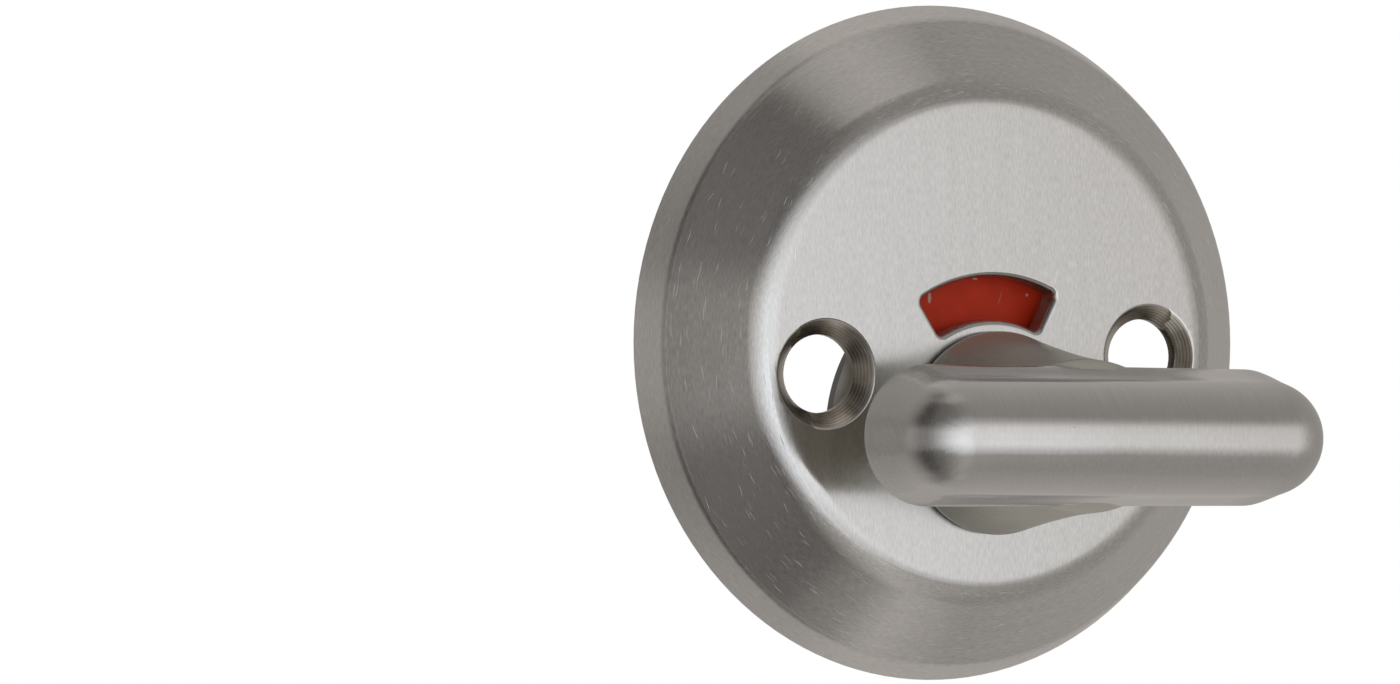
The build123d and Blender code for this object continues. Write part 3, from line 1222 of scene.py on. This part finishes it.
@dataclass
class WaveWasher:
    """The wave washer between the cover and the disc, made by Geometry Nodes. Lengths are in millimetres."""

    bore: float = 12.8
    diameter: float = 15.0
    thickness: float = 0.25
    swing: float = 0.5
    middle: float = 6.0
    waves: int = 3
    steps: int = 144
    corners: int = 4
    sharp: float = 40.0

    def tree(self) -> bpy.types.NodeTree:
        """Builds the tree: a strip that is wrapped round the axis and waved.

        Returns:
            The tree, with one named input for each size.
        """
        tree = bpy.data.node_groups.new("wave_washer", "GeometryNodeTree")
        tree.interface.new_socket("Geometry", in_out="OUTPUT", socket_type="NodeSocketGeometry")
        for label in ("Bore", "Diameter", "Thickness", "Swing", "Middle", "Waves", "Axis Height"):
            tree.interface.new_socket(label, in_out="INPUT", socket_type="NodeSocketFloat")
        tree.interface.new_socket("Steps", in_out="INPUT", socket_type="NodeSocketInt")
        tree.interface.new_socket("Material", in_out="INPUT", socket_type="NodeSocketMaterial")
        wiring = Wiring(tree)
        sizes = wiring.add("NodeGroupInput").outputs
        strip = wiring.add("GeometryNodeMeshGrid")
        strip.inputs["Size X"].default_value = 1.0
        strip.inputs["Size Y"].default_value = 1.0
        wiring.feed(strip.inputs["Vertices X"], wiring.sum("ADD", sizes["Steps"], 1.0))
        strip.inputs["Vertices Y"].default_value = self.corners + 1
        place = wiring.add("ShaderNodeSeparateXYZ")
        wiring.feed(place.inputs[0], wiring.add("GeometryNodeInputPosition").outputs[0])
        angle = wiring.sum("MULTIPLY", place.outputs[0], 2 * math.pi)
        half_side = 0.5 / self.corners
        outer = self.on_side(wiring, place.outputs[1], -half_side)
        back = self.on_side(wiring, place.outputs[1], half_side)
        width = wiring.sum("SUBTRACT", sizes["Diameter"], sizes["Bore"])
        across = wiring.sum("MULTIPLY_ADD", outer, width, sizes["Bore"])
        radius = wiring.sum("MULTIPLY", across, 0.5)
        wave = wiring.sum("COSINE", wiring.sum("MULTIPLY", angle, sizes["Waves"]))
        front = wiring.sum("MULTIPLY_ADD", wave, sizes["Swing"], sizes["Middle"])
        depth = wiring.sum("SUBTRACT", wiring.sum("MULTIPLY", back, sizes["Thickness"]), front)
        x = wiring.sum("MULTIPLY", radius, wiring.sum("COSINE", angle))
        z = wiring.sum("MULTIPLY_ADD", radius, wiring.sum("SINE", angle), sizes["Axis Height"])
        wrapped = wiring.add("GeometryNodeSetPosition")
        wiring.feed(wrapped.inputs["Geometry"], strip.outputs["Mesh"])
        wiring.feed(wrapped.inputs["Position"], wiring.vector(x, depth, z))
        closed = wiring.add("GeometryNodeMergeByDistance")
        wiring.feed(closed.inputs["Geometry"], wrapped.outputs[0])
        scaled = wiring.add("GeometryNodeTransform")
        wiring.feed(scaled.inputs["Geometry"], closed.outputs[0])
        scaled.inputs["Scale"].default_value = (MILLIMETRE,) * 3
        real = wiring.add("GeometryNodeRealizeInstances")
        wiring.feed(real.inputs[0], scaled.outputs[0])
        coated = wiring.add("GeometryNodeSetMaterial")
        wiring.feed(coated.inputs["Geometry"], real.outputs[0])
        wiring.feed(coated.inputs["Material"], sizes["Material"])
        wiring.feed(wiring.add("NodeGroupOutput").inputs[0], coated.outputs[0])
        return tree

    def on_side(self, wiring: Wiring, corner: Socket, middle: float) -> Socket:
        """Picks the two corners at the ends of one side of the strip's section.

        Args:
            wiring: The tree's wiring.
            corner: The corner's place round the section, -0.5 to 0.5.
            middle: Place of the side's middle.

        Returns:
            1 at those corners, 0 elsewhere.
        """
        side = 1 / self.corners
        distance = wiring.sum("ABSOLUTE", wiring.sum("SUBTRACT", corner, middle))
        return wiring.sum("LESS_THAN", distance, side)

    def build(self, material: bpy.types.Material) -> bpy.types.Mesh:
        """Runs the tree and gives its result as a plain mesh.

        Args:
            material: The washer's material.

        Returns:
            The mesh.
        """
        holder = bpy.data.objects.new("washer_strip", bpy.data.meshes.new("washer_strip"))
        bpy.context.scene.collection.objects.link(holder)
        wrap = holder.modifiers.new("wave_washer", "NODES")
        tree = self.tree()
        wrap.node_group = tree
        values = {
            "Bore": self.bore, "Diameter": self.diameter, "Thickness": self.thickness, "Swing": self.swing,
            "Middle": self.middle, "Waves": float(self.waves), "Axis Height": SPINDLE_HEIGHT,
            "Steps": self.steps, "Material": material}
        for socket in tree.interface.items_tree:
            if socket.name in values:
                wrap[socket.identifier] = values[socket.name]
        mesh = bpy.data.meshes.new_from_object(holder.evaluated_get(bpy.context.evaluated_depsgraph_get()))
        bpy.data.objects.remove(holder)
        shape = bmesh.new()
        shape.from_mesh(mesh)
        bmesh.ops.recalc_face_normals(shape, faces=shape.faces)
        shape.to_mesh(mesh)
        shape.free()
        mesh.shade_smooth()
        mesh.set_sharp_from_angle(angle=math.radians(self.sharp))
        return mesh


@dataclass
class RoseAssembly:
    """The fixed rose: its cover, the bush in it and the wave washer. Lengths are in millimetres.

    back_facing and side_facing are limits to how much a face looks to the front.
    """

    effects: Effects
    face_edge: float = 20.9
    face_level: float = 8.1
    rim_edge: float = 27.4
    screw_spacing: float = 31.2
    screw_line_height: float = -1.9
    countersink_edge: float = 4.47
    bore_edge: float = 3.26
    back_facing: float = -0.5
    side_facing: float = 0.2
    washer_steel: DrawnSteel = DrawnSteel("spring_steel", (0.30, 0.27, 0.22, 1.0), (0.22, 0.20, 0.24, 1.0))

    def build(self) -> None:
        """Builds and dresses the three pieces."""
        self.build_cover()
        plastic = MouldedPlastic("bush_plastic").material(self.effects)
        Piece("bearing_bush", Body.ROSE, Slot.BUSH).dress([plastic])
        washer = WaveWasher().build(self.washer_steel.material(self.effects))
        place_piece("wave_washer", washer, Body.ROSE)

    def build_cover(self) -> None:
        """Dresses the cover: brushed face, cone and rim, turned holes and a cast back."""
        finishes = {
            CoverArea.FACE: BrushedNickel("face_nickel", Grain.UPRIGHT, roughness=0.22, spread=0.95),
            CoverArea.CONE: BrushedNickel(
                "cone_nickel", Grain.ROUND, roughness=0.17, spread=0.8, tone=1.0, line_height=0.0035,
                hairline_share=0.34, hairline_tone=0.7, hairline_roughness=0.45),
            # The countersinks' dark brown is partly painted shade on the hole walls, besides random blotches.
            CoverArea.COUNTERSINK: TurnedMetal(
                "countersink_stain_and_shade", (0.28, 0.25, 0.21, 1.0), (0.74, 0.71, 0.65, 1.0)),
            CoverArea.BACK: CastMetal("cast_back"),
            # The bores' near-black colour is painted shade inside the screw holes.
            CoverArea.BORE: TurnedMetal("bore_painted_shade", (0.12, 0.11, 0.09, 1.0), (0.22, 0.20, 0.17, 1.0)),
            # The rim's nickel is lighter than the face's: partly painted highlight along the outer rim.
            CoverArea.RIM: BrushedNickel(
                "rim_nickel_painted_highlight", Grain.ROUND, (0.72, 0.717, 0.71, 1.0), roughness=0.32, spread=0.5, tone=1.0)}
        cover = Piece("rose_cover", Body.ROSE, Slot.COVER, turned=True)
        choices = [self.surface(spot).value for spot in cover.spots()]
        cover.dress([finishes[area].material(self.effects) for area in CoverArea], choices)

    def surface(self, spot: Spot) -> CoverArea:
        """Tells which of the cover's surfaces a face is on.

        Args:
            spot: The face's middle.

        Returns:
            The surface.
        """
        if spot.ahead < self.back_facing:
            return CoverArea.BACK
        from_screw = math.hypot(abs(spot.across) - self.screw_spacing / 2, spot.up - self.screw_line_height)
        if from_screw < self.bore_edge:
            return CoverArea.BORE
        if from_screw < self.countersink_edge:
            return CoverArea.COUNTERSINK
        if spot.ahead < self.side_facing:
            return CoverArea.BACK
        radius = math.hypot(spot.across, spot.up)
        if radius < self.face_edge:
            return CoverArea.FACE if spot.front > self.face_level else CoverArea.BACK
        return CoverArea.CONE if radius < self.rim_edge else CoverArea.RIM


@dataclass
class TurnAssembly:
    """What turns: the thumbturn, the disc with its red fields, the ring and the spindle.

    Lengths are in millimetres. root_lean, back_facing and front_facing are limits to how much a face looks
    to the front.
    """

    effects: Effects
    foot_base: float = 9.02
    bar_base: float = 23.69
    root_end: float = 26.0
    root_lean: float = 0.31
    back_facing: float = -0.8
    front_facing: float = 0.5
    red: FieldPaint = FieldPaint(
        "red_paint", (0.78, 0.054, 0.018, 1.0), (0.66, 0.040, 0.014, 1.0), (0.78, 0.60, 0.52, 1.0),
        worn=(Worn(-4.6, 11.3, 0.17, 0.50), Worn(-0.23, 13.0, 0.24, 0.10), Worn(4.88, 11.76, 0.13, 0.13)))
    white: FieldPaint = FieldPaint(
        "white_paint", (0.78, 0.76, 0.70, 1.0), (0.66, 0.63, 0.56, 1.0), (0.30, 0.28, 0.24, 1.0), 0.03)
    ring_steel: DrawnSteel = DrawnSteel("ring_steel", (0.16, 0.15, 0.14, 1.0), (0.10, 0.10, 0.115, 1.0))
    spindle_steel: DrawnSteel = DrawnSteel("spindle_steel", (0.52, 0.50, 0.45, 1.0), (0.46, 0.41, 0.28, 1.0))

    def build(self) -> None:
        """Builds and dresses the six pieces."""
        self.build_thumbturn()
        self.build_disc()
        red = self.red.material(self.effects)
        Piece("red_field_upper", Body.TURN, Slot.RED).dress([red])
        Piece("red_field_lower", Body.TURN, Slot.RED).dress([red])
        Piece("retaining_ring", Body.TURN, Slot.SPRING).dress([self.ring_steel.material(self.effects)])
        Piece("spindle", Body.TURN, Slot.SPINDLE).dress([self.spindle_steel.material(self.effects)])

    def build_thumbturn(self) -> None:
        """Dresses the thumbturn: brushed grip with a rough back, duller neck and foot, and turned shaft."""
        finishes = {
            TurnArea.GRIP: BrushedNickel(
                "grip_nickel", Grain.ACROSS, roughness=0.17, spread=0.85, tone=0.3, wave_height=0.11,
                end_roughness=0.10),
            TurnArea.NECK: BrushedNickel(
                "neck_nickel", Grain.ACROSS, (0.60, 0.60, 0.55, 1.0), roughness=0.42, spread=0.3, tone=0.5),
            # The grip back's brown is partly painted shade, which the face mirrors as the dark zone beside
            # the grip.
            TurnArea.BACK: CastMetal("grip_back_and_shade", (0.50, 0.44, 0.34, 1.0), (0.66, 0.61, 0.51, 1.0)),
            TurnArea.SHAFT: TurnedMetal("shaft_metal", (0.34, 0.31, 0.25, 1.0), (0.55, 0.52, 0.45, 1.0))}
        turn = Piece("thumbturn", Body.TURN, Slot.TURN, crown=Crown())
        choices = [self.surface(spot).value for spot in turn.spots()]
        turn.dress([finishes[area].material(self.effects) for area in TurnArea], choices)

    def surface(self, spot: Spot) -> TurnArea:
        """Tells which of the thumbturn's surfaces a face is on.

        Args:
            spot: The face's middle.

        Returns:
            The surface. The neck's root on the grip's flanks counts as neck.
        """
        if spot.front < self.foot_base:
            return TurnArea.SHAFT
        on_root = spot.front < self.root_end and spot.ahead > self.root_lean
        if spot.front < self.bar_base or on_root:
            return TurnArea.NECK
        return TurnArea.BACK if spot.ahead < self.back_facing else TurnArea.GRIP

    def build_disc(self) -> None:
        """Dresses the disc: white paint on its front, dark plated steel elsewhere, partly as painted shade.
        """
        disc = Piece("indicator_disc", Body.TURN, Slot.WHITE)
        # The dark steel on the disc's edge and back is partly painted shade inside the cover.
        materials = [self.white.material(self.effects), self.ring_steel.material(self.effects)]
        disc.dress(materials, [0 if spot.ahead > self.front_facing else 1 for spot in disc.spots()])


def main() -> None:
    """Builds the scene in order and reports each piece."""
    logging.basicConfig(level=logging.INFO, format="%(name)s: %(message)s")
    PictureCamera().build()
    Studio().build()
    effects = Effects()
    RoseAssembly(effects).build()
    TurnAssembly(effects).build()


if __name__ == "__main__":
    main()
